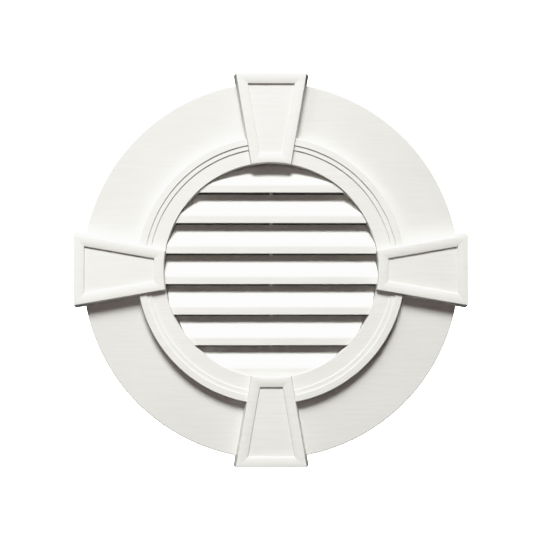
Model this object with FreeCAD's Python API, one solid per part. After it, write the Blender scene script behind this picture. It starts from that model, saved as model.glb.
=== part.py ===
import FreeCAD, Part
import math
import os

# Round louvred gable vent with a flat trim surround and four keystones, in millimetres.
# The wall plane is y = 0 and the vent faces -Y, with Z up and the opening's axis along Y.
# A height is a distance out from the wall, so height h lies at y = -h.

# General moulding
wall = 3.0                    # wall thickness of every moulding
seat_gap = 0.2                # clearance between pieces that seat on curved faces

# Surround: raised ring and flat trim, from the opening outwards
opening_radius = 217.0        # inner edge of the ring
inner_band_width = 28.6
middle_band_width = 9.7
outer_band_width = 13.8
ring_draft = 2.4              # how far the ring's foot stands outside its shoulder
trim_width = 109.5            # flat trim outside the ring's foot
trim_height = 26.0            # front face of the flat trim
siding_gap = 18.0             # room for the siding behind the trim's rim
ring_rise = 19.0              # outer band above the flat trim
step_drop = 2.1               # height of each of the two steps down towards the opening
shoulder_chamfer = 1.2        # chamfers of the ring's outside and inside edges
opening_chamfer = 2.0

# Surround: back
gusset_count = 8              # gussets that centre the ring on the base's throat
gusset_length = 24.0
gusset_depth = 8.5
gusset_tip = 4.0
locator_gap = 0.3             # between a gusset and the throat
rib_count = 24
rib_thickness = 2.2           # of the ribs and the gussets
rib_rise = 4.5                # height of a rib behind the flat trim
rib_clearance = 3.0           # between the ribs and the base's receiver wall
tab_count = 8
tab_width = 14.0
tab_thickness = 2.2
tab_length = 14.0
tab_gap = 0.6                 # between a tab and the receiver wall
barb_reach = 2.2              # how far a barb stands out of its tab or hook
barb_height = 5.0
window_gap = 0.4              # clearance around a barb in its window

# Louvred base
throat_step = 1.7             # how far the throat stands inside the ring's inner edge
receiver_clearance = 28.5     # between the ring's foot and the outside of the receiver wall
flange_width = 45.0           # nailing flange outside the receiver wall
flange_thickness = 2.5
spigot_depth = 15.0           # how far the spigot reaches into the wall opening
screw_hole_count = 8
screw_hole_radius = 2.6
louvre_count = 7
louvre_recess = 4.0           # louvre lips behind the ring's inner band
louvre_depth = 25.0
louvre_slit = 3.7             # open height seen straight on between two louvres
lip_height = 15.0
crease_round = 2.0            # rounding where the blade turns down into its lip
lip_round = 1.2
mullion_width = 7.0
mullion_depth = 15.0

# Insect screen
screen_seat = 4.0             # ledge between the throat and the spigot that the screen lies on
screen_thickness = 0.8

# Keystones
keystone_rise = 6.2           # front of the keystone's border above the ring's outer band
keystone_overhang = 14.2      # straight outer end past the trim's outside edge
keystone_setback = 0.8        # inner end behind the ring's inner edge
keystone_outer_half = 71.0    # half widths of the front at the two ends
keystone_inner_half = 40.2
side_draft = 4.0              # degrees
end_draft = 1.0
border_width = 19.7           # raised border around the sunk panel
border_flat = 8.0             # level part of the border, next to the outside edge
border_fall = 1.0             # how far the border curves down towards the panel
panel_step = 3.0              # sharp step from the border down to the panel
panel_draft = 0.4             # how far the step's foot stands inside its edge
border_edge = 0.8             # chamfer of the outside edge
hook_inset = 15.0             # hooks from the receiver wall and from the trim's outside edge
hook_width = 14.0
hook_thickness = 3.0
hook_gap = 0.3                # clearance around a hook in its slot

# Derived radii
inner_step = opening_radius + inner_band_width
outer_step = inner_step + middle_band_width
ring_radius = outer_step + outer_band_width
foot_radius = ring_radius + ring_draft
trim_radius = foot_radius + trim_width
throat_radius = opening_radius - throat_step
throat_outside = throat_radius + wall
spigot_inside = throat_radius + screen_seat
spigot_outside = spigot_inside + wall
receiver_radius = foot_radius + receiver_clearance
receiver_inside = receiver_radius - wall
flange_radius = receiver_radius + flange_width
screw_radius = receiver_radius + flange_width / 2
keystone_reach = trim_radius + keystone_overhang
keystone_radius = opening_radius + keystone_setback
hook_places = (receiver_radius + hook_inset, trim_radius - hook_inset)

# Derived heights
trim_back = trim_height - wall
shoulder_height = trim_height + ring_rise
middle_band = shoulder_height - step_drop
inner_band = middle_band - step_drop
inner_back = inner_band - wall
lip_front = inner_band - louvre_recess
louvre_back = lip_front - louvre_depth
louvre_pitch = 2 * throat_radius / louvre_count
keystone_height = shoulder_height + keystone_rise
panel_height = keystone_height - border_fall - panel_step
panel_back = panel_height - wall
overlap = wall / 2            # how deep a rib, tab or hook is rooted in its wall
keystone_angles = {"top": 0, "right": 90, "bottom": 180, "left": 270}

origin = FreeCAD.Vector(0, 0, 0)
axis = FreeCAD.Vector(0, 1, 0)


def rounded_wire(corners, place):
    # Closed outline through (a, b) or (a, b, radius) corners, each radius a tangent arc.
    points = [FreeCAD.Vector(corner[0], corner[1], 0) for corner in corners]
    radii = [corner[2] if len(corner) > 2 else 0 for corner in corners]
    starts, middles, ends = [], [], []
    for index, point in enumerate(points):
        back = (points[index - 1] - point).normalize()
        ahead = (points[(index + 1) % len(points)] - point).normalize()
        half_angle = back.getAngle(ahead) / 2
        reach = radii[index] / math.tan(half_angle)
        inward = (back + ahead).normalize()
        starts.append(place(point + back * reach))
        middles.append(place(point + inward * (radii[index] / math.sin(half_angle) - radii[index])))
        ends.append(place(point + ahead * reach))
    edges = []
    for index, radius in enumerate(radii):
        if radius:
            edges.append(Part.Arc(starts[index], middles[index], ends[index]).toShape())
        edges.append(Part.makeLine(ends[index], starts[(index + 1) % len(starts)]))
    return Part.Wire(edges)


def section_place(point):
    # A (radius, height) point in the half plane of the vent's axis.
    return FreeCAD.Vector(point.x, -point.y, 0)


def turned(corners):
    # Solid of revolution about the vent's axis from (radius, height) corners.
    return Part.Face(rounded_wire(corners, section_place)).revolve(origin, axis, 360)


def radial_prism(corners, width, angle):
    # (radius, height) outline made width thick across its own radius, turned to an angle from +X.
    face = Part.Face(rounded_wire(corners, section_place))
    face.translate(FreeCAD.Vector(0, 0, -width / 2))
    prism = face.extrude(FreeCAD.Vector(0, 0, width))
    prism.rotate(origin, axis, angle)
    return prism


def rectangle(low_radius, high_radius, low_height, high_height):
    return [
        (low_radius, low_height),
        (high_radius, low_height),
        (high_radius, high_height),
        (low_radius, high_height),
    ]


def disc(radius, low_height, high_height):
    return Part.makeCylinder(radius, high_height - low_height, FreeCAD.Vector(0, -high_height, 0), axis)


def spread(count):
    # Angles of evenly spaced features, none of them on a keystone's centre line.
    return [(index + 0.5) * 360 / count for index in range(count)]


def surround_front(gap):
    # Front of the surround from the opening to the outside edge, moved out by a clearance.
    shoulder_radius = ring_radius + ring_draft * shoulder_chamfer / ring_rise
    return [
        (opening_radius - gap, inner_band - opening_chamfer),
        (opening_radius + opening_chamfer, inner_band + gap),
        (inner_step - gap, inner_band + gap),
        (inner_step - gap, middle_band + gap),
        (outer_step - gap, middle_band + gap),
        (outer_step - gap, shoulder_height + gap),
        (ring_radius - shoulder_chamfer + gap, shoulder_height + gap),
        (shoulder_radius + gap, shoulder_height - shoulder_chamfer + gap),
        (foot_radius + gap, trim_height + gap),
        (trim_radius + gap, trim_height + gap),
    ]


def surround_back():
    # Back of the surround from the outside rim in to the opening.
    return [
        (trim_radius, siding_gap),
        (trim_radius - wall, siding_gap),
        (trim_radius - wall, trim_back),
        (foot_radius - wall, trim_back),
        (ring_radius - wall, shoulder_height - wall),
        (inner_step + wall, inner_back),
        (opening_radius, inner_back),
    ]


def gusset():
    # Gusset under the inner band, its straight inner edge against the throat.
    inside = throat_outside + locator_gap
    outside = inside + gusset_length
    return [
        (inside, inner_back + overlap),
        (outside, inner_back + overlap),
        (outside, inner_back),
        (inside + gusset_tip, inner_back - gusset_depth),
        (inside, inner_back - gusset_depth),
    ]


def barbed(inside, outside, root, catch, tip):
    # Leg from its root down to its tip, with a barb that catches on its outer side.
    return [
        (inside, root),
        (outside, root),
        (outside, catch),
        (outside + barb_reach, catch),
        (outside, tip),
        (inside, tip),
    ]


def make_surround():
    ring = turned(surround_front(0) + surround_back())
    rib_outline = rectangle(
        receiver_radius + rib_clearance, trim_radius - overlap, trim_back - rib_rise, trim_back + overlap
    )
    tab_outside = receiver_inside - tab_gap
    tab_tip = trim_back - tab_length
    tab_outline = barbed(
        tab_outside - tab_thickness, tab_outside, trim_back + overlap, tab_tip + barb_height, tab_tip
    )
    added = [radial_prism(gusset(), rib_thickness, angle) for angle in spread(gusset_count)]
    added += [radial_prism(rib_outline, rib_thickness, angle) for angle in spread(rib_count)]
    added += [radial_prism(tab_outline, tab_width, angle) for angle in spread(tab_count)]
    slots = []
    for place in hook_places:
        slot_outline = rectangle(
            place - hook_thickness / 2 - barb_reach - hook_gap,
            place + hook_thickness / 2 + hook_gap,
            trim_back - wall,
            trim_height + wall,
        )
        slots += [
            radial_prism(slot_outline, hook_width + 2 * hook_gap, angle) for angle in keystone_angles.values()
        ]
    return ring.multiFuse(added).cut(slots).removeSplitter()


def louvre_section(top, lowest):
    # Blade sloping down from its back edge, then turned down into the front lip.
    # The lowest lip runs on down to the throat as a closed sill.
    lip_bottom = top - louvre_pitch + louvre_slit
    crease = lip_bottom + lip_height
    if lowest:
        lip_bottom -= louvre_slit + overlap
    slope = (top - crease) / louvre_depth
    under = wall * math.hypot(1, slope)
    inner_crease = top - under - slope * (louvre_depth - wall)
    return [
        (louvre_back, top),
        (lip_front, crease, crease_round),
        (lip_front, lip_bottom, lip_round),
        (lip_front - wall, lip_bottom, lip_round),
        (lip_front - wall, inner_crease),
        (louvre_back, top - under),
    ]


def make_louvre(index):
    half_length = throat_outside

    def place(point):
        return FreeCAD.Vector(-half_length, -point.x, point.y)

    outline = louvre_section(throat_radius - index * louvre_pitch, index == louvre_count - 1)
    return Part.Face(rounded_wire(outline, place)).extrude(FreeCAD.Vector(2 * half_length, 0, 0))


def make_base():
    body = turned([
        (throat_radius, 0),
        (spigot_inside, 0),
        (spigot_inside, -spigot_depth),
        (spigot_outside, -spigot_depth),
        (spigot_outside, 0),
        (flange_radius, 0),
        (flange_radius, flange_thickness),
        (receiver_radius, flange_thickness),
        (receiver_radius, trim_back),
        (receiver_inside, trim_back),
        (receiver_inside, flange_thickness),
        (throat_outside, flange_thickness),
        (throat_outside, inner_back),
        (throat_radius, inner_back),
    ])
    mullion = Part.makeBox(
        mullion_width, mullion_depth, 2 * throat_outside,
        FreeCAD.Vector(-mullion_width / 2, -mullion_depth, -throat_outside),
    )
    grille = mullion.multiFuse([make_louvre(index) for index in range(louvre_count)])
    grille = grille.common(disc(throat_radius + overlap, 0, inner_back))
    barb_tip = trim_back - tab_length
    window = rectangle(
        receiver_inside - wall,
        receiver_radius + wall,
        barb_tip - window_gap,
        barb_tip + barb_height + window_gap,
    )
    cuts = [radial_prism(window, tab_width + 2 * window_gap, angle) for angle in spread(tab_count)]
    for angle in spread(screw_hole_count):
        hole = disc(screw_hole_radius, -wall, flange_thickness + wall)
        hole.translate(FreeCAD.Vector(screw_radius, 0, 0))
        hole.rotate(origin, axis, angle)
        cuts.append(hole)
    return body.cut(cuts).fuse(grille).removeSplitter()


def keystone_outline(height, side_inset, end_inset):
    # Wedge outline, straight at the outer end and concentric with the opening at the inner end.
    slope = (keystone_outer_half - keystone_inner_half) / (keystone_reach - keystone_radius)
    stretch = math.hypot(1, slope)
    half_at_axis = keystone_inner_half - slope * keystone_radius - side_inset * stretch
    arc_radius = keystone_radius + end_inset
    far = keystone_reach - end_inset
    near = (math.sqrt((arc_radius * stretch) ** 2 - half_at_axis ** 2) - half_at_axis * slope) / stretch ** 2
    near_half = half_at_axis + slope * near
    far_half = half_at_axis + slope * far
    near_left = FreeCAD.Vector(-near_half, -height, near)
    near_middle = FreeCAD.Vector(0, -height, arc_radius)
    near_right = FreeCAD.Vector(near_half, -height, near)
    far_right = FreeCAD.Vector(far_half, -height, far)
    far_left = FreeCAD.Vector(-far_half, -height, far)
    return Part.Wire([
        Part.Arc(near_left, near_middle, near_right).toShape(),
        Part.makeLine(near_right, far_right),
        Part.makeLine(far_right, far_left),
        Part.makeLine(far_left, near_left),
    ])


def drafted_outline(height, inset):
    # Outline of the keystone's walls, which spread towards the wall by their draft angles.
    drop = keystone_height - height
    side = inset - drop * math.tan(math.radians(side_draft))
    end = inset - drop * math.tan(math.radians(end_draft))
    return keystone_outline(height, side, end)


def panel_recess():
    # Sunk panel: the border curves down from its level part, then drops in one sharp step.
    sections = [keystone_outline(keystone_height + wall, border_flat, border_flat)]
    for share in (0, 0.4, 0.7, 1):
        inset = border_flat + share * (border_width - border_flat)
        sections.append(keystone_outline(keystone_height - border_fall * share ** 2, inset, inset))
    inset = border_width + panel_draft
    sections.append(keystone_outline(panel_height, inset, inset))
    return Part.makeLoft(sections, True, True)


def make_keystone():
    # The top keystone: a hollow cap notched over the ring and the trim, with two snap hooks.
    block = Part.makeLoft([
        drafted_outline(siding_gap, 0),
        drafted_outline(keystone_height - border_edge, 0),
        keystone_outline(keystone_height, border_edge, border_edge),
    ], True, True)
    hollow = Part.makeLoft(
        [drafted_outline(siding_gap - wall, wall), drafted_outline(panel_back, wall)], True, True
    )
    notch = turned(
        surround_front(seat_gap) + [(trim_radius + seat_gap, 0), (opening_radius - seat_gap, 0)]
    )
    shell = block.cut([panel_recess(), hollow, notch])
    hooks = []
    for place in hook_places:
        hook_outline = barbed(
            place - hook_thickness / 2,
            place + hook_thickness / 2,
            panel_back + overlap,
            trim_back,
            trim_back - barb_height,
        )
        hooks.append(radial_prism(hook_outline, hook_width, -90))
    return shell.multiFuse(hooks).removeSplitter()


os.makedirs("parts", exist_ok=True)
nodes = {
    "trim_surround": make_surround(),
    "vent_base": make_base(),
    "insect_screen": disc(spigot_inside - seat_gap, -screen_thickness, 0),
}
keystone = make_keystone()
for side, angle in keystone_angles.items():
    piece = keystone.copy()
    piece.rotate(origin, axis, angle)
    nodes["keystone_" + side] = piece

for name, shape in nodes.items():
    shape.exportStep("parts/" + name + ".step")
    solids = len(shape.Solids)
    print(f"{name}: {solids} solid(s), valid {shape.isValid()}, {shape.Volume / 1000:.1f} cm3")
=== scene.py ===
import bpy
import math
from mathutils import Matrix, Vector


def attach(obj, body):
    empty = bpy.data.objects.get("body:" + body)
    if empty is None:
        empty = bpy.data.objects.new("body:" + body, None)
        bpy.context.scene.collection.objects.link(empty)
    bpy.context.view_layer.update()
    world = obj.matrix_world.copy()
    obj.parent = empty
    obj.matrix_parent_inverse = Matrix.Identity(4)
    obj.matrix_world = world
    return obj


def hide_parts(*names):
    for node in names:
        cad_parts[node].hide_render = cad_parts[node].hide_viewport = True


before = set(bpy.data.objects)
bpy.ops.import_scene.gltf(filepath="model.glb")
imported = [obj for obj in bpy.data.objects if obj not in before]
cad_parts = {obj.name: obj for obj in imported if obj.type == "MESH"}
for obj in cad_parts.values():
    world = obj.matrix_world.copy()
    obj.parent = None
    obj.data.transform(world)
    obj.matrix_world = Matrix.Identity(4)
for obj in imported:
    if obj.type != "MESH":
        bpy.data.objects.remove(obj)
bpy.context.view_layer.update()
scene = bpy.context.scene
scene.tool_settings.mesh_select_mode = (True, False, False)
mm = 0.001
quarter = math.pi / 2
turnSteps = 240  # divisions of a full turn
largeRounding = 2.0  # from here a rounding gets more segments
roundSegments = {"small": 3, "large": 5, "blade": 4, "wedge": 3, "mullion": 2}
smoothAngle = math.radians(32)
outlineMerge = 2e-5  # metres, because an arc can end a hair off the start of its outline
seamMerge = 1e-6  # metres, where a turn closes
sameSpot = 1e-5  # metres
print("frame loaded:", ", ".join(sorted(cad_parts)))


# Modelling helpers. Sizes are in millimetres; a height is a distance out from the wall plane.

def deselectAll():
    if bpy.context.mode != "OBJECT":
        bpy.ops.object.mode_set(mode="OBJECT")
    bpy.ops.object.select_all(action="DESELECT")


def activate(piece):
    deselectAll()
    piece.select_set(True)
    bpy.context.view_layer.objects.active = piece


def selectMesh():
    bpy.ops.mesh.select_all(action="SELECT")


def faceOutwards():  # and leaves edit mode
    selectMesh()
    bpy.ops.mesh.normals_make_consistent(inside=False)
    deselectAll()


def pickVertices(piece, test):  # leaves the piece in edit mode with those vertices selected
    if bpy.context.mode != "EDIT_MESH":
        bpy.ops.object.mode_set(mode="EDIT")
    bpy.ops.mesh.select_all(action="DESELECT")
    bpy.ops.object.mode_set(mode="OBJECT")
    for vertex in piece.data.vertices:
        vertex.select = test(vertex)
    bpy.ops.object.mode_set(mode="EDIT")


def drawPath(name, corners):  # a vertex extruded from corner to corner, the last one left selected
    points = [Vector(corner) * mm for corner in corners]
    deselectAll()
    bpy.ops.mesh.primitive_plane_add(size=mm)
    piece = bpy.context.object
    piece.name = name
    bpy.ops.object.mode_set(mode="EDIT")
    bpy.ops.mesh.merge(type="CENTER")
    bpy.ops.transform.translate(value=points[0])
    for here, there in zip(points, points[1:]):
        bpy.ops.mesh.extrude_region_move(TRANSFORM_OT_translate={"value": there - here})
    return piece


def fillOutline():
    selectMesh()
    bpy.ops.mesh.remove_doubles(threshold=outlineMerge)
    bpy.ops.mesh.edge_face_add()


def roundCorner(piece, corner, size, segments):
    spot = Vector(corner) * mm
    pickVertices(piece, lambda vertex: (vertex.co - spot).length < sameSpot)
    bpy.ops.mesh.bevel(offset=size * mm, segments=segments, affect="VERTICES")


def drawProfile(name, profile):  # (radius, height, rounding) corners in the half plane of the axis
    corners = [(radius, -height, 0) for radius, height, rounding in profile]
    piece = drawPath(name, corners)
    fillOutline()
    for corner, (radius, height, rounding) in zip(corners, profile):
        if rounding:
            kind = "small" if rounding < largeRounding else "large"
            roundCorner(piece, corner, rounding, roundSegments[kind])
    return piece


def drawBlock(name, inside, outside, low, high):  # a square-cornered profile between two radii
    return drawProfile(name, [(inside, low, 0), (outside, low, 0), (outside, high, 0), (inside, high, 0)])


def spinProfile():  # turns the profile just drawn about the axis
    selectMesh()
    bpy.ops.mesh.delete(type="ONLY_FACE")
    selectMesh()
    bpy.ops.mesh.spin(steps=turnSteps, angle=2 * math.pi, center=(0, 0, 0), axis=(0, 1, 0))
    selectMesh()
    bpy.ops.mesh.remove_doubles(threshold=seamMerge)
    faceOutwards()


def extrudeAcross(width):  # thickens the profile just drawn, evenly to both sides of its half plane
    selectMesh()
    bpy.ops.transform.translate(value=(0, 0, -width * mm / 2))
    bpy.ops.mesh.extrude_region_move(TRANSFORM_OT_translate={"value": (0, 0, width * mm)})
    faceOutwards()


def drawPin(name, radius, length, place, sides):  # a cylinder along the axis
    deselectAll()
    bpy.ops.mesh.primitive_cylinder_add(
        vertices=sides, radius=radius * mm, depth=length * mm,
        location=Vector(place) * mm, rotation=(quarter, 0, 0),
    )
    pin = bpy.context.object
    pin.name = name
    bpy.ops.object.transform_apply()
    return pin


def turnAboutAxis(piece, angle):
    activate(piece)
    bpy.ops.object.mode_set(mode="EDIT")
    selectMesh()
    bpy.ops.transform.rotate(value=angle, orient_axis="Y", center_override=(0, 0, 0))
    deselectAll()


def copyOf(piece, name):
    activate(piece)
    bpy.ops.object.duplicate(linked=False)
    copy = bpy.context.object
    copy.name = name
    return copy


def joinAll(parts):
    activate(parts[0])
    for part in parts:
        part.select_set(True)
    bpy.ops.object.join()
    return parts[0]


def ringOf(piece, angles):  # copies of one piece around the axis, joined
    copies = []
    for index, angle in enumerate(angles):
        copy = copyOf(piece, f"{piece.name}{index}")
        turnAboutAxis(copy, angle)
        copies.append(copy)
    bpy.data.objects.remove(piece)
    return joinAll(copies)


def spread(count):  # evenly spaced angles, none on a keystone's centre line
    return [(index + 0.5) * 2 * math.pi / count for index in range(count)]


def carve(piece, tool, operation):  # boolean with a tool that is then thrown away
    activate(piece)
    bpy.ops.object.modifier_add(type="BOOLEAN")
    modifier = piece.modifiers[-1]
    modifier.operation = operation
    modifier.solver = "EXACT"
    modifier.object = tool
    bpy.ops.object.modifier_apply(modifier=modifier.name)
    bpy.data.objects.remove(tool)


def finishPiece(piece, node, finish):
    activate(piece)
    bpy.ops.object.shade_smooth_by_angle(angle=smoothAngle)
    bpy.ops.object.modifier_add(type="WEIGHTED_NORMAL")
    piece.modifiers[-1].keep_sharp = True
    bpy.ops.object.modifier_apply(modifier=piece.modifiers[-1].name)
    piece.data.materials.clear()
    piece.data.materials.append(finish)
    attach(piece, "root")
    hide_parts(node)
    print("finished", piece.name, len(piece.data.polygons), "faces")


# Finishes

class Value:  # a shader socket that takes part in sums
    def __init__(self, tree, socket):
        self.tree = tree
        self.socket = socket

    def node(self, kind, settings=None, sockets=None, output=0):
        made = self.tree.nodes.new(kind)
        for name, setting in (settings or {}).items():
            if name == "stops":
                for stop, (place, colour) in zip(made.color_ramp.elements, setting):
                    stop.position = place
                    stop.color = colour
            else:
                setattr(made, name, setting)
        for name, content in (sockets or {}).items():
            if isinstance(content, Value):
                self.tree.links.new(content.socket, made.inputs[name])
            else:
                made.inputs[name].default_value = content
        return Value(self.tree, made.outputs[output])

    def maths(self, operation, first, second):
        return self.node("ShaderNodeMath", {"operation": operation}, {0: first, 1: second})

    def __add__(self, other):
        return self.maths("ADD", self, other)

    def __radd__(self, other):
        return self.maths("ADD", other, self)

    def __mul__(self, other):
        return self.maths("MULTIPLY", self, other)

    def __rmul__(self, other):
        return self.maths("MULTIPLY", other, self)


def newFinish(name):  # the material, its shader, and Object coordinates to start its maths from
    material = bpy.data.materials.new(name)
    material.use_nodes = True
    tree = material.node_tree
    tree.nodes.clear()
    output = tree.nodes.new("ShaderNodeOutputMaterial")
    shader = tree.nodes.new("ShaderNodeBsdfPrincipled")
    tree.links.new(shader.outputs[0], output.inputs["Surface"])
    return material, shader, Value(tree, None).node("ShaderNodeTexCoord", output="Object")


def feed(shader, sockets):
    for name, content in sockets.items():
        if isinstance(content, Value):
            content.tree.links.new(content.socket, shader.inputs[name])
        else:
            shader.inputs[name].default_value = content


def noise(place, scale, detail, roughness=0.5):
    sockets = {"Vector": place, "Scale": scale, "Detail": detail, "Roughness": roughness}
    return place.node("ShaderNodeTexNoise", {}, sockets)


def ramp(amount, stops):
    return amount.node("ShaderNodeValToRGB", {"stops": stops}, {"Fac": amount})


def bumpOf(relief, strength, distance):
    return relief.node("ShaderNodeBump", {}, {"Height": relief, "Strength": strength, "Distance": distance})


copolymerLook = {
    "shade": (0.3, (0.726, 0.733, 0.692, 1)),  # up to this tint
    "colour": (0.62, (0.780, 0.788, 0.745, 1)),  # from this tint on
    "tint": (0.3, 0.5, 0.2),  # shares of cloud, grain and fleck
    "trimTone": (0.932, 0.933, 0.936, 1),  # the grained flat trim looks a little darker
    "trimFrom": (0.2695, 0.2725),  # metres from the axis
    "roughness": (0.41, 0.06),  # least, and what grain and cloud each add
    "cloud": (7, 4, 0.6),  # scale per metre, detail and roughness
    "grain": (190, 3),
    "grainStretch": 0.06,  # along the draw of the grain
    "peel": (420, 2),
    "fleck": (2600, 2),
    "plainGrain": 0.55,  # depth of the grain on plain pieces
    "ringGrain": 0.4,  # on the surround's ring
    "trimGrain": 0.9,  # on its flat trim
    "peelDepth": 0.3,
    "fleckDepth": 0.15,
    "bump": (0.22, 0.0004),  # strength and distance
    "refraction": 1.49,
    "shine": 0.4,
}


def copolymerFinish(name, grained):
    look = copolymerLook
    material, shader, place = newFinish(name)
    drawn = place.node("ShaderNodeMapping", {}, {"Vector": place, "Scale": (look["grainStretch"], 1, 1)})
    cloud = noise(place, *look["cloud"])
    grain = noise(drawn, *look["grain"])
    peel = noise(place, *look["peel"])
    fleck = noise(place, *look["fleck"])
    cloudShare, grainShare, fleckShare = look["tint"]
    tint = cloudShare * cloud + grainShare * grain + fleckShare * fleck
    colour = ramp(tint, (look["shade"], look["colour"]))
    depth = look["plainGrain"]
    if grained:
        spot = place.node("ShaderNodeVectorMath", {"operation": "MULTIPLY"}, {0: place, 1: (1, 0, 1)})
        radius = place.node("ShaderNodeVectorMath", {"operation": "LENGTH"}, {0: spot}, "Value")
        low, high = look["trimFrom"]
        flat = place.node("ShaderNodeMapRange", {}, {"Value": radius, "From Min": low, "From Max": high})
        blend = {"data_type": "RGBA", "blend_type": "MULTIPLY"}
        colours = {0: flat, 6: colour, 7: look["trimTone"]}  # factor and the two colours
        colour = place.node("ShaderNodeMix", blend, colours, 2)
        depth = look["ringGrain"] + flat * (look["trimGrain"] - look["ringGrain"])
    relief = grain * depth + peel * look["peelDepth"] + fleck * look["fleckDepth"]
    least, more = look["roughness"]
    feed(shader, {
        "Base Color": colour,
        "Roughness": least + more * grain + more * cloud,
        "Normal": bumpOf(relief, *look["bump"]),
        "IOR": look["refraction"],
        "Specular IOR Level": look["shine"],
    })
    return material


meshLook = {
    "gap": (0.45, (0.12, 0.115, 0.113, 1)),  # up to this height of the weave: the openings, painted shade of the dark behind the screen
    "thread": (0.9, (0.34, 0.325, 0.32, 1)),  # from this height on
    "waveScale": 62.5,  # a thread about every 5 mm
    "dust": (60, 5),  # scale per metre and detail
    "tint": (0.85, 0.3),  # least, and what the dust adds
    "roughness": (0.62, 0.2),
    "bump": (0.6, 0.0005),  # strength and distance
}


def weave(place, direction):
    settings = {"bands_direction": direction, "wave_profile": "SIN"}
    return place.node("ShaderNodeTexWave", settings, {"Vector": place, "Scale": meshLook["waveScale"]}, 1)


def meshFinish():
    look = meshLook
    material, shader, place = newFinish("screenMesh")
    dust = noise(place, *look["dust"])
    thread = place.maths("MAXIMUM", weave(place, "X"), weave(place, "Z"))
    clean, dusty = look["tint"]
    least, more = look["roughness"]
    feed(shader, {
        # threads keep their own charcoal colour; the openings get painted shade for the dark behind the
        # screen
        "Base Color": ramp(thread * (clean + dusty * dust), (look["gap"], look["thread"])),
        "Roughness": least + more * dust,
        "Normal": bumpOf(thread, *look["bump"]),
    })
    return material


copolymer = copolymerFinish("whiteCopolymer", False)
grainedCopolymer = copolymerFinish("grainedCopolymer", True)
screenMesh = meshFinish()
print("finishes made")


# Trim surround: stepped ring and flat trim in one turn, with ribs, tabs and gussets behind

surround = {
    "opening": 216.4,
    "innerStep": 245.6,
    "outerStep": 255.3,
    "shoulder": 269.1,
    "foot": 271.5,
    "edge": 381.0,
    "trimHeight": 26.0,
    "rimHeight": 18.0,
    "bandHeights": (40.8, 42.9, 45.0),
    "wall": 3.0,
    "openingRound": 0.6,
    "stepRounds": (0.15, 0.2),  # foot and top
    "shoulderRound": 1.3,
    "footRound": 1.0,
    "edgeRound": 2.4,
    "rimRound": 0.6,
    "backRound": 0.8,
    "lipRound": 0.5,
    "sunk": 1.5,  # how far ribs, tabs and gussets run into the wall that carries them
    "webThickness": 2.2,  # of ribs and gussets
    "ribs": 24,
    "ribStart": 303.0,  # clear of the base's receiver wall
    "ribDrop": 4.5,
    "ribRound": 1.0,
    "tabs": 8,
    "tab": (294.2, 296.4, 298.6),  # inside, outside and barb
    "tabDrop": (9.0, 14.0),  # to the barb and to the tip
    "tabRounds": (0.3, 0.4),
    "tabWidth": 14.0,
    "gussets": 8,
    "gusset": (218.6, 222.6, 242.6),  # inside, toe and outside
    "gussetDrop": 8.5,
    "gussetRound": 0.8,
    "hookPlaces": (315.0, 366.0),
    "slot": (6.0, 14.6),  # length and width
    "slotPast": 1.8,  # from the hook's place to the slot's outer end
    "slotCut": (3.0, 6.0),  # below and above the trim's underside
}
trimUnder = surround["trimHeight"] - surround["wall"]


def surroundFront(gap):  # profile from the opening to the edge, moved out by a gap
    inner, middle, outer = surround["bandHeights"]
    innerStep = surround["innerStep"] - gap
    outerStep = surround["outerStep"] - gap
    footRound, topRound = surround["stepRounds"]
    return [
        (surround["opening"] - gap, inner + gap, surround["openingRound"]),
        (innerStep, inner + gap, footRound),
        (innerStep, middle + gap, topRound),
        (outerStep, middle + gap, footRound),
        (outerStep, outer + gap, topRound),
        (surround["shoulder"] + gap, outer + gap, surround["shoulderRound"]),
        (surround["foot"] + gap, surround["trimHeight"] + gap, surround["footRound"]),
        (surround["edge"] + gap, surround["trimHeight"] + gap, surround["edgeRound"]),
    ]


def surroundBack():  # from the edge back to the opening
    wall = surround["wall"]
    edge = surround["edge"]
    innerUnder = surround["bandHeights"][0] - wall
    outerUnder = surround["bandHeights"][-1] - wall
    return [
        (edge, surround["rimHeight"], surround["rimRound"]),
        (edge - wall, surround["rimHeight"], surround["rimRound"]),
        (edge - wall, trimUnder, surround["backRound"]),
        (surround["foot"] - wall, trimUnder, surround["backRound"]),
        (surround["shoulder"] - wall, outerUnder, surround["backRound"]),
        (surround["innerStep"] + wall, innerUnder, 0),
        (surround["opening"], innerUnder, surround["lipRound"]),
    ]


def makeRibs():
    start = surround["ribStart"]
    end = surround["edge"] - surround["sunk"]
    low = trimUnder - surround["ribDrop"]
    high = trimUnder + surround["sunk"]
    rib = drawProfile("rib", [
        (start, low, surround["ribRound"]),
        (end, low, 0),
        (end, high, 0),
        (start, high, 0),
    ])
    extrudeAcross(surround["webThickness"])
    return ringOf(rib, spread(surround["ribs"]))


def makeTabs():
    inside, outside, barb = surround["tab"]
    barbDrop, tipDrop = surround["tabDrop"]
    barbRound, tipRound = surround["tabRounds"]
    tab = drawProfile("tab", [
        (inside, trimUnder + surround["sunk"], 0),
        (outside, trimUnder + surround["sunk"], 0),
        (outside, trimUnder - barbDrop, 0),
        (barb, trimUnder - barbDrop, barbRound),
        (outside, trimUnder - tipDrop, tipRound),
        (inside, trimUnder - tipDrop, tipRound),
    ])
    extrudeAcross(surround["tabWidth"])
    return ringOf(tab, spread(surround["tabs"]))


def makeGussets():
    inside, toe, outside = surround["gusset"]
    under = surround["bandHeights"][0] - surround["wall"]
    low = under - surround["gussetDrop"]
    gusset = drawProfile("gusset", [
        (inside, under + surround["sunk"], 0),
        (outside, under + surround["sunk"], 0),
        (outside, under, 0),
        (toe, low, surround["gussetRound"]),
        (inside, low, surround["gussetRound"]),
    ])
    extrudeAcross(surround["webThickness"])
    return ringOf(gusset, spread(surround["gussets"]))


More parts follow.
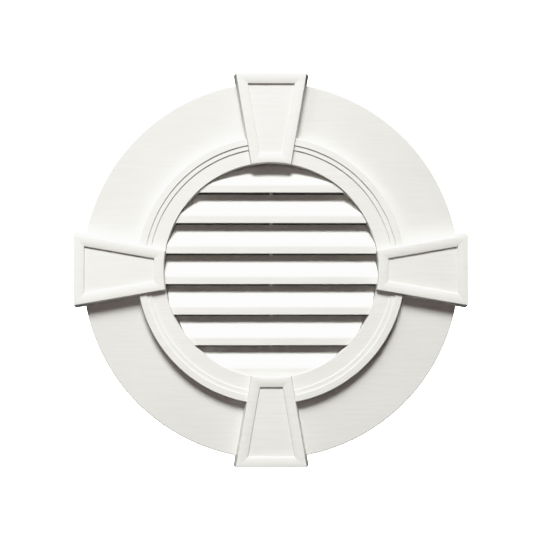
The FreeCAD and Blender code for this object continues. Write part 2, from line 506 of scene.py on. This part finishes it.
def makeSlots():  # where the keystones' hooks pass through the trim
    length, width = surround["slot"]
    below, above = surround["slotCut"]
    slots = []
    for place in surround["hookPlaces"]:
        end = place + surround["slotPast"]
        slot = drawBlock("slot", end - length, end, trimUnder - below, trimUnder + above)
        extrudeAcross(width)
        slots.append(ringOf(slot, [index * quarter for index in range(4)]))
    return joinAll(slots)


def makeSurround():
    ring = drawProfile("trimSurround", surroundFront(0) + surroundBack())
    spinProfile()
    carve(ring, makeSlots(), "DIFFERENCE")
    parts = [ring, makeRibs(), makeTabs(), makeGussets()]
    finishPiece(joinAll(parts), "trim_surround", grainedCopolymer)


makeSurround()


# Vent base: flange, receiver wall, throat and spigot in one turn, with the fixed louvres across the throat

base = {
    "throat": 215.3,
    "throatWall": 218.3,
    "throatRound": 1.5,
    "spigot": (219.3, 222.3),
    "spigotDepth": 15.0,
    "spigotRound": 0.8,
    "receiver": (297.0, 300.0),
    "receiverHeight": 23.0,
    "flange": 345.0,
    "flangeThickness": 2.5,
    "flangeRound": 0.6,  # on the receiver wall too
    "footRound": 1.5,  # where walls stand on the flange
    "rimHeight": 37.8,
    "rimRound": 0.2,
    "flare": (0.9, 8.0),  # rim left at the front of the throat, and how deep its flare goes
    "windows": 8,  # for the surround's tabs
    "window": (8.6, 14.4),  # heights
    "windowWidth": 14.8,
    "windowPast": 3.0,
    "screws": 8,
    "screwCircle": 322.5,
    "screwHole": 2.6,
    "screwCut": 20.0,
    "screwSides": 32,
    "louvres": 7,
    "lipFront": 36.8,
    "depth": 25.0,
    "slit": 2.2,
    "lip": 18.0,
    "wall": 3.0,
    "backRound": 0.5,
    "creaseRound": 4.5,
    "innerRound": 1.0,
    "lipRound": 1.1,
    "sillPick": 3.0,  # the sill's lip is picked this far up
    "sunk": 1.5,  # how far the blades run into the throat's wall
    "endGap": (0.8, 3.0),  # blade ends clear of the throat at its flare and at the back
    "endGapFrom": 14.0,  # height where that starts
    "endCut": (3.0, 1.0),  # past the throat's wall and its rim
    "mullion": (7.0, 15.0),
    "mullionSunk": 1.0,
    "mullionRound": 0.6,
}
bladePitch = 2 * base["throat"] / base["louvres"]
lipBottom = base["slit"] - bladePitch  # from a blade's back edge


def bladeSection():  # (height, place above the blade's back edge, rounding) corners
    front = base["lipFront"]
    back = front - base["depth"]
    inside = front - base["wall"]
    crease = lipBottom + base["lip"]
    slope = -crease / base["depth"]
    under = base["wall"] * math.hypot(1, slope)
    return [
        (back, 0, base["backRound"]),
        (front, crease, base["creaseRound"]),
        (front, lipBottom, base["lipRound"]),
        (inside, lipBottom, base["lipRound"]),
        (inside, -under - slope * (base["depth"] - base["wall"]), base["innerRound"]),
        (back, -under, base["backRound"]),
    ]


def makeBlade():
    section = bladeSection()
    reach = base["throatWall"]
    corners = [(-reach, -height, base["throat"] + place) for height, place, rounding in section]
    blade = drawPath("louvre", corners)
    fillOutline()
    for corner, (height, place, rounding) in zip(corners, section):
        roundCorner(blade, corner, rounding, roundSegments["blade"])
    selectMesh()
    bpy.ops.mesh.extrude_region_move(TRANSFORM_OT_translate={"value": (2 * reach * mm, 0, 0)})
    faceOutwards()
    return blade


def stackBlades():
    blades = [makeBlade()]
    for index in range(1, base["louvres"]):
        blade = copyOf(blades[0], f"louvre{index}")
        bpy.ops.object.mode_set(mode="EDIT")
        selectMesh()
        bpy.ops.transform.translate(value=(0, 0, -index * bladePitch * mm))
        deselectAll()
        blades.append(blade)
    return blades


def closeSill(blade):  # the lowest lip runs down to the throat
    bottom = base["throat"] + lipBottom - (base["louvres"] - 1) * bladePitch
    activate(blade)
    pickVertices(blade, lambda vertex: vertex.co.z < (bottom + base["sillPick"]) * mm)
    bpy.ops.transform.translate(value=(0, 0, -(base["slit"] + base["sunk"]) * mm))
    deselectAll()


def makeBladeEnds():  # what the upper blades leave free along the throat
    frontGap, backGap = base["endGap"]
    pastWall, pastRim = base["endCut"]
    rim, flareDepth = base["flare"]
    outside = base["throatWall"] + pastWall
    top = base["rimHeight"] + pastRim
    ends = drawProfile("bladeEnds", [
        (base["throat"] - backGap, base["endGapFrom"], 0),
        (outside, base["endGapFrom"], 0),
        (outside, top, 0),
        (base["throatWall"] - rim - frontGap, top, 0),
        (base["throat"] - frontGap, base["rimHeight"] - flareDepth, 0),
    ])
    spinProfile()
    return ends


def makeLouvres():
    blades = stackBlades()
    sill = blades.pop()
    closeSill(sill)
    grille = joinAll(blades)
    middle = (0, -base["rimHeight"] / 2, 0)
    for part in (grille, sill):
        plug = drawPin("plug", base["throat"] + base["sunk"], base["rimHeight"], middle, turnSteps)
        carve(part, plug, "INTERSECT")
    carve(grille, makeBladeEnds(), "DIFFERENCE")
    return joinAll([grille, sill])


def makeBody():
    spigotIn, spigotOut = base["spigot"]
    receiverIn, receiverOut = base["receiver"]
    flange = base["flangeThickness"]
    rim, flareDepth = base["flare"]
    body = drawProfile("ventBase", [
        (base["throat"], 0, 0),
        (spigotIn, 0, 0),
        (spigotIn, -base["spigotDepth"], base["spigotRound"]),
        (spigotOut, -base["spigotDepth"], base["spigotRound"]),
        (spigotOut, 0, base["spigotRound"]),
        (base["flange"], 0, base["flangeRound"]),
        (base["flange"], flange, base["flangeRound"]),
        (receiverOut, flange, base["footRound"]),
        (receiverOut, base["receiverHeight"], base["flangeRound"]),
        (receiverIn, base["receiverHeight"], base["flangeRound"]),
        (receiverIn, flange, base["footRound"]),
        (base["throatWall"], flange, base["footRound"]),
        (base["throatWall"], base["rimHeight"], base["rimRound"]),
        (base["throatWall"] - rim, base["rimHeight"], base["rimRound"]),
        (base["throat"], base["rimHeight"] - flareDepth, base["throatRound"]),
    ])
    spinProfile()
    return body


def makeBaseCuts():  # tab windows and screw holes
    receiverIn, receiverOut = base["receiver"]
    past = base["windowPast"]
    window = drawBlock("window", receiverIn - past, receiverOut + past, *base["window"])
    extrudeAcross(base["windowWidth"])
    place = (base["screwCircle"], 0, 0)
    hole = drawPin("screwHole", base["screwHole"], base["screwCut"], place, base["screwSides"])
    return joinAll([ringOf(window, spread(base["windows"])), ringOf(hole, spread(base["screws"]))])


def makeMullion():
    width, depth = base["mullion"]
    deselectAll()
    bpy.ops.mesh.primitive_cube_add(size=1, location=(0, -depth * mm / 2, 0))
    mullion = bpy.context.object
    mullion.scale = (width * mm, depth * mm, 2 * (base["throat"] + base["mullionSunk"]) * mm)
    bpy.ops.object.transform_apply()
    bpy.ops.object.modifier_add(type="BEVEL")
    mullion.modifiers[-1].width = base["mullionRound"] * mm
    mullion.modifiers[-1].segments = roundSegments["mullion"]
    bpy.ops.object.modifier_apply(modifier=mullion.modifiers[-1].name)
    return mullion


def makeBase():
    body = makeBody()
    carve(body, makeBaseCuts(), "DIFFERENCE")
    mullion = makeMullion()
    finishPiece(joinAll([body, makeLouvres(), mullion]), "vent_base", copolymer)


makeBase()


# Keystones: one cap built from wedge outlines bridged in turn, notched over the ring, then copied round

keystone = {
    "height": 51.2,
    "rimHeight": 18.0,
    "reach": 395.2,
    "innerRadius": 215.9,
    "outerHalf": 71.0,
    "innerHalf": 39.85,
    "sideDraft": math.radians(9),
    "nearDraft": math.radians(8),
    "farDraft": math.radians(1),
    "edgeRound": 0.9,
    "edgeSteps": 4,
    "borderWidth": 19.7,
    "borderCrown": 7.0,  # in from the edge
    "borderFall": 1.35,  # from the crown to the panel
    "borderSteps": 8,
    "farBorder": 20.4,  # the border is wider across the outer end
    "panelStep": 3.4,
    "panelDraft": 0.5,
    "stepRound": (0.3, 0.2),  # across and down, at the top of the step
    "panelRound": 0.15,
    "leastBow": 0.1,
    "hollowCorner": 1.0,
    "wallCorner": 1.2,
    "borderCorner": 0.8,
    "panelCorner": 0.4,
    "wall": 3.0,
    "arcSteps": 14,
    "stack": 20.0,  # between outlines while they are bridged
    "seatGap": 0.2,
    "nearClear": 12.0,  # the notch passes the drafted inner end
    "hook": (3.0, 14.0),  # thickness and width
    "hookSunk": 1.5,
    "hookBarb": 2.2,
    "hookDrop": 5.0,
    "hookRounds": (0.4, 0.5),  # barb and tip
}
panelFoot = keystone["height"] - keystone["borderFall"] - keystone["panelStep"]


def wedgeLoop(height, sideInset, nearInset, farInset, corner):  # one outline of the cap, as a ring of edges
    slope = (keystone["outerHalf"] - keystone["innerHalf"]) / (keystone["reach"] - keystone["innerRadius"])
    stretch = math.hypot(1, slope)
    halfAtAxis = keystone["innerHalf"] - slope * keystone["innerRadius"] - sideInset * stretch
    radius = keystone["innerRadius"] + nearInset
    far = keystone["reach"] - farInset
    near = (math.sqrt((radius * stretch) ** 2 - halfAtAxis ** 2) - halfAtAxis * slope) / stretch ** 2
    nearHalf = halfAtAxis + slope * near
    farHalf = halfAtAxis + slope * far
    sides = [(-nearHalf, near), (-farHalf, far), (farHalf, far), (nearHalf, near)]
    corners = [(across, -height, out) for across, out in sides]
    loop = drawPath("wedge", corners)
    bow = max(keystone["leastBow"], 1 - max(nearInset, 0) / keystone["borderWidth"])
    bend = near / bow  # the arc straightens towards the panel
    bpy.ops.mesh.spin(
        steps=keystone["arcSteps"], angle=2 * math.atan2(nearHalf, bend),
        center=(0, 0, (near - bend) * mm), axis=(0, 1, 0),
    )
    fillOutline()
    for spot in corners:
        roundCorner(loop, spot, corner, roundSegments["wedge"])
    selectMesh()
    bpy.ops.mesh.delete(type="ONLY_FACE")
    deselectAll()
    return loop


def drafted(height, inset, corner):  # the walls spread towards the wall plane
    drop = keystone["height"] - height
    drafts = ("sideDraft", "nearDraft", "farDraft")
    side, near, far = (inset - drop * math.tan(keystone[draft]) for draft in drafts)
    return height, side, near, far, corner


def level(height, inset, corner):  # one inset at the sides and the inner end, more at the outer end
    return height, inset, inset, inset * keystone["farBorder"] / keystone["borderWidth"], corner


def borderHeight(inset):  # a shallow crown across the raised border
    share = (inset - keystone["borderCrown"]) / (keystone["borderWidth"] - keystone["borderCrown"])
    return keystone["height"] - keystone["borderFall"] * share ** 2


def wallOutlines():  # from the hollow's roof down its walls, up the outside and round the edge
    wall = keystone["wall"]
    rim = keystone["rimHeight"]
    rounding = keystone["edgeRound"]
    outlines = [
        drafted(panelFoot - wall, wall, keystone["hollowCorner"]),
        drafted(rim, wall, keystone["hollowCorner"]),
        drafted(rim, 0, keystone["wallCorner"]),
    ]
    for step in range(keystone["edgeSteps"] + 1):
        angle = step * quarter / keystone["edgeSteps"]
        height = borderHeight(rounding) - rounding * (1 - math.sin(angle))
        outlines.append(drafted(height, rounding * (1 - math.cos(angle)), keystone["wallCorner"]))
    return outlines


def faceOutlines():  # across the border and down to the sunk panel
    start = keystone["edgeRound"]
    across, down = keystone["stepRound"]
    corner = keystone["panelCorner"]
    width = keystone["borderWidth"] - across - start
    outlines = []
    for step in range(1, keystone["borderSteps"] + 1):
        inset = start + width * step / keystone["borderSteps"]
        outlines.append(level(borderHeight(inset), inset, keystone["borderCorner"]))
    footInset = keystone["borderWidth"] + keystone["panelDraft"]
    outlines.append(level(panelFoot + keystone["panelStep"] - down, keystone["borderWidth"], corner))
    outlines.append(level(panelFoot + keystone["panelRound"], footInset, corner))
    outlines.append(level(panelFoot, footInset + keystone["panelRound"], corner))
    return outlines


def bridgeOutlines(name, outlines):  # bridged while stacked well apart, then each set to its own height
    stack = keystone["stack"]
    parts = [wedgeLoop(index * stack, *outline[1:]) for index, outline in enumerate(outlines)]
    count = len(parts[0].data.vertices)
    piece = parts[0]
    piece.name = name
    for index, loop in enumerate(parts[1:]):
        joinAll([piece, loop])
        pickVertices(piece, lambda vertex: vertex.index >= index * count)
        bpy.ops.mesh.bridge_edge_loops()
    for end in (0, len(parts) - 1):
        pickVertices(piece, lambda vertex: vertex.index // count == end)
        bpy.ops.mesh.edge_face_add()
    for index, outline in enumerate(outlines):
        pickVertices(piece, lambda vertex: vertex.index // count == index)
        bpy.ops.transform.translate(value=(0, (index * stack - outline[0]) * mm, 0))
    faceOutwards()
    return piece


def makeNotch():  # the room that the cap leaves for the ring and trim
    gap = keystone["seatGap"]
    front = surroundFront(gap)
    inside = surround["opening"] - keystone["nearClear"]
    seat = [(inside, front[0][1], 0)] + front[1:]
    notch = drawProfile("notch", seat + [(surround["edge"] + gap, 0, 0), (inside, 0, 0)])
    spinProfile()
    return notch


def makeHook(place):  # from the hollow's roof through the trim
    thickness, width = keystone["hook"]
    barbRound, tipRound = keystone["hookRounds"]
    inside = place - thickness / 2
    outside = place + thickness / 2
    top = panelFoot - keystone["wall"] + keystone["hookSunk"]
    tip = trimUnder - keystone["hookDrop"]
    hook = drawProfile("hook", [
        (inside, top, 0),
        (outside, top, 0),
        (outside, trimUnder, 0),
        (outside + keystone["hookBarb"], trimUnder, barbRound),
        (outside, tip, tipRound),
        (inside, tip, tipRound),
    ])
    extrudeAcross(width)
    turnAboutAxis(hook, quarter)
    return hook


def makeKeystones():
    cap = bridgeOutlines("keystoneTop", wallOutlines() + faceOutlines())
    carve(cap, makeNotch(), "DIFFERENCE")
    first = joinAll([cap] + [makeHook(place) for place in surround["hookPlaces"]])
    others = []
    for index, side in enumerate(("Right", "Bottom", "Left")):
        copy = copyOf(first, "keystone" + side)
        turnAboutAxis(copy, -(index + 1) * quarter)
        others.append((copy, "keystone_" + side.lower()))
    for piece, node in [(first, "keystone_top")] + others:
        finishPiece(piece, node, copolymer)


makeKeystones()


# Insect screen: woven mesh bonded to the ledge behind the louvres

insectScreen = {"radius": 219.1, "thickness": 0.8, "hem": 4.0, "sunk": 0.3}


def makeScreen():
    radius = insectScreen["radius"] * mm
    deselectAll()
    bpy.ops.mesh.primitive_circle_add(
        vertices=turnSteps, radius=radius, fill_type="NGON", rotation=(-quarter, 0, 0)
    )
    piece = bpy.context.object
    piece.name = "insectScreen"
    bpy.ops.object.transform_apply()
    bpy.ops.object.mode_set(mode="EDIT")
    selectMesh()
    thicken = {"value": (0, insectScreen["thickness"] * mm, 0)}
    bpy.ops.mesh.extrude_region_move(TRANSFORM_OT_translate=thicken)
    bpy.ops.mesh.inset(thickness=insectScreen["hem"] * mm)
    bpy.ops.transform.translate(value=(0, -insectScreen["sunk"] * mm, 0))
    faceOutwards()
    finishPiece(piece, "insect_screen", screenMesh)


makeScreen()


# Studio, in metres: pale floor, a large soft key light from above, weak fills, a little sky, white behind

studio = {
    "floorTop": -1.6,
    "floorThickness": 0.02,
    "floor": ((-0.7, 0.7), (-0.3, 0.3)),  # left and right, front and back
    "floorCloud": (3, 5),  # scale per metre and detail
    "floorTones": ((0.3, (0.74, 0.74, 0.74, 1)), (0.7, (0.8, 0.8, 0.8, 1))),
    "floorRoughness": (0.6, 0.2),
    "keyDirection": (-0.06, -0.65, 0.757),  # from the vent to the light
    "keyAim": (-0.85, 0, 1.25),  # aimed past the vent, so its lower right is a little dimmer
    "keyDistance": 14.0,
    "keySize": 5.8,
    "keySpread": math.radians(44),
    "keyPower": 220,
    "fillPlace": (-1.4, -1.5, 2.45),  # from the upper left, so the ring and keystones shade the trim softly
    "fillSize": 1.1,
    "fillPower": 19.0,
    "frontPlace": (-0.5, -3.3, 0.4),  # by the camera, so it lifts the cast shadows and not the walls
    "frontSize": 1.0,
    "frontPower": 7.6,
    "backPlace": (0, 3.0, 0.4),  # only the back sees it
    "backSize": 1.2,
    "backPower": 55,
    "sky": 0.032,
    "skyTint": (1.22, 0.98, 0.97, 1),
    "behind": 3.0,  # what the camera sees behind the vent
    "cameraPlace": (-0.0308, -2.525, -0.035),  # a touch left of the axis and below it
    "cameraAim": (-0.002, 0, 0.0006),
    "lens": 82.4,
    "sensor": 36,
    "whiteLevel": 2.0,
    "tone": (  # a soft shoulder
        (0.4, 0.41), (0.8, 0.82), (0.9, 0.905), (1.04, 0.962), (1.25, 0.98), (1.6, 0.986),
    ),
}


def makeFloor():
    (left, right), (front, back) = studio["floor"]
    thickness = studio["floorThickness"]
    middle = ((left + right) / 2, (front + back) / 2, studio["floorTop"] - thickness / 2)
    deselectAll()
    bpy.ops.mesh.primitive_cube_add(size=1, location=middle)
    floor = bpy.context.object
    floor.name = "floor"
    floor.scale = (right - left, back - front, thickness)
    bpy.ops.object.transform_apply()
    material, shader, place = newFinish("paleFloor")
    cloud = noise(place, *studio["floorCloud"])
    least, more = studio["floorRoughness"]
    feed(shader, {"Base Color": ramp(cloud, studio["floorTones"]), "Roughness": least + more * cloud})
    floor.data.materials.append(material)


def makeLight(name, place, aim, size, power):
    deselectAll()
    bpy.ops.object.light_add(type="AREA", location=place)
    light = bpy.context.object
    light.name = name
    light.rotation_euler = (Vector(place) - Vector(aim)).to_track_quat("Z", "Y").to_euler()
    light.data.shape = "DISK"
    light.data.size = size
    light.data.energy = power
    return light


def makeLights():
    keyPlace = Vector(studio["keyDirection"]).normalized() * studio["keyDistance"]
    key = makeLight("keyLight", keyPlace, studio["keyAim"], studio["keySize"], studio["keyPower"])
    key.data.spread = studio["keySpread"]
    weak = {}
    for name in ("fill", "front", "back"):
        place, size, power = (studio[name + part] for part in ("Place", "Size", "Power"))
        weak[name] = makeLight(name + "Light", place, (0, 0, 0), size, power)
    weak["front"].data.color = studio["skyTint"][:3]


def makeWorld():
    world = bpy.data.worlds.new("studioWorld")
    scene.world = world
    world.use_nodes = True
    tree = world.node_tree
    tree.nodes.clear()
    seen = Value(tree, None).node("ShaderNodeLightPath", output="Is Camera Ray")
    colours = {0: seen, 6: studio["skyTint"], 7: (1, 1, 1, 1)}
    colour = seen.node("ShaderNodeMix", {"data_type": "RGBA"}, colours, 2)
    background = tree.nodes.new("ShaderNodeBackground")
    feed(background, {"Color": colour, "Strength": studio["sky"] + seen * (studio["behind"] - studio["sky"])})
    output = tree.nodes.new("ShaderNodeOutputWorld")
    tree.links.new(background.outputs[0], output.inputs["Surface"])


def makeCamera():
    deselectAll()
    bpy.ops.object.camera_add(location=studio["cameraPlace"])
    camera = bpy.context.object
    toCamera = camera.location - Vector(studio["cameraAim"])
    camera.rotation_euler = toCamera.to_track_quat("Z", "Y").to_euler()
    camera.data.lens = studio["lens"]
    camera.data.sensor_width = studio["sensor"]
    scene.camera = camera


def setTone():
    view = scene.view_settings
    view.view_transform = "Standard"
    view.use_curve_mapping = True
    view.curve_mapping.white_level = (studio["whiteLevel"],) * 3
    view.curve_mapping.extend = "HORIZONTAL"
    curve = view.curve_mapping.curves[3]  # for all three colours
    for light, shown in studio["tone"]:
        curve.points.new(light / studio["whiteLevel"], shown)
    view.curve_mapping.update()


makeFloor()
makeLights()
makeWorld()
makeCamera()
setTone()
print("studio set")
